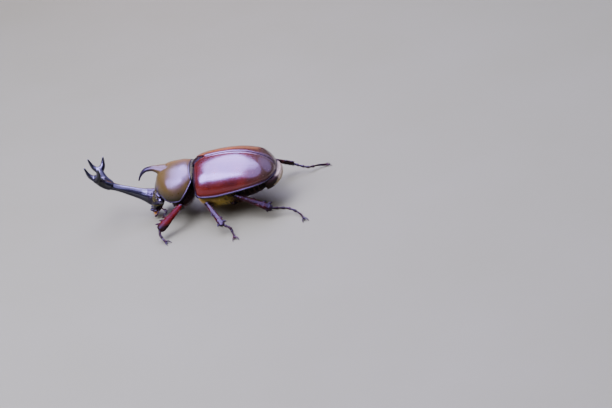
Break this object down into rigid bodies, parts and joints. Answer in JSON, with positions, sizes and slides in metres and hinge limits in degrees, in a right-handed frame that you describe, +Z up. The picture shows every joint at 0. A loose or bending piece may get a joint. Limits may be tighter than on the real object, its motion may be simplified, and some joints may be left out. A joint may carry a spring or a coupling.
{
  "type": "rhinoceros beetle",
  "caption": "Male Japanese rhinoceros beetle with a long forked head horn and a small hooked horn on the thorax, standing on six legs.",
  "frame": {"origin": "on the floor under the middle of the beetle's length and width", "axes": "+Z up, -Y the way the head looks, +X the animal's left"},
  "size_m": [0.0512, 0.0774, 0.0217],
  "materials": {
    "horn_black": "gloss",
    "shell_black": "satin",
    "elytra_mahogany": "gloss",
    "pronotum_bronze": "gloss",
    "leg_red": "gloss",
    "leg_dark": "gloss",
    "eye_black": "gloss",
    "mouth_rust": "matte"
  },
  "bodies": {
    "root": {"abdomen": "shell_black", "antenna_left": "leg_dark", "antenna_right": "leg_dark", "elytron_left": "elytra_mahogany", "elytron_right": "elytra_mahogany", "eye_left": "eye_black", "eye_right": "eye_black", "fore_left_claws": "horn_black", "fore_left_coxa": "shell_black", "fore_left_femur": "leg_red", "fore_left_tarsus": "leg_dark", "fore_left_tibia": "leg_red", "fore_right_claws": "horn_black", "fore_right_coxa": "shell_black", "fore_right_femur": "leg_red", "fore_right_tarsus": "leg_dark", "fore_right_tibia": "leg_red", "head": "shell_black", "head_horn": "horn_black", "hind_left_claws": "horn_black", "hind_left_coxa": "shell_black", "hind_left_femur": "leg_dark", "hind_left_tarsus": "leg_dark", "hind_left_tibia": "leg_dark", "hind_right_claws": "horn_black", "hind_right_coxa": "shell_black", "hind_right_femur": "leg_dark", "hind_right_tarsus": "leg_dark", "hind_right_tibia": "leg_dark", "metathorax": "shell_black", "mid_left_claws": "horn_black", "mid_left_coxa": "shell_black", "mid_left_femur": "leg_dark", "mid_left_tarsus": "leg_dark", "mid_left_tibia": "leg_dark", "mid_right_claws": "horn_black", "mid_right_coxa": "shell_black", "mid_right_femur": "leg_dark", "mid_right_tarsus": "leg_dark", "mid_right_tibia": "leg_dark", "mouthparts": "mouth_rust", "palp_left": "leg_dark", "palp_right": "leg_dark", "pronotal_horn": "horn_black", "pronotum": "pronotum_bronze", "prosternum": "shell_black", "pygidium": "pronotum_bronze", "scutellum": "shell_black"}
  },
  "joints": []
}
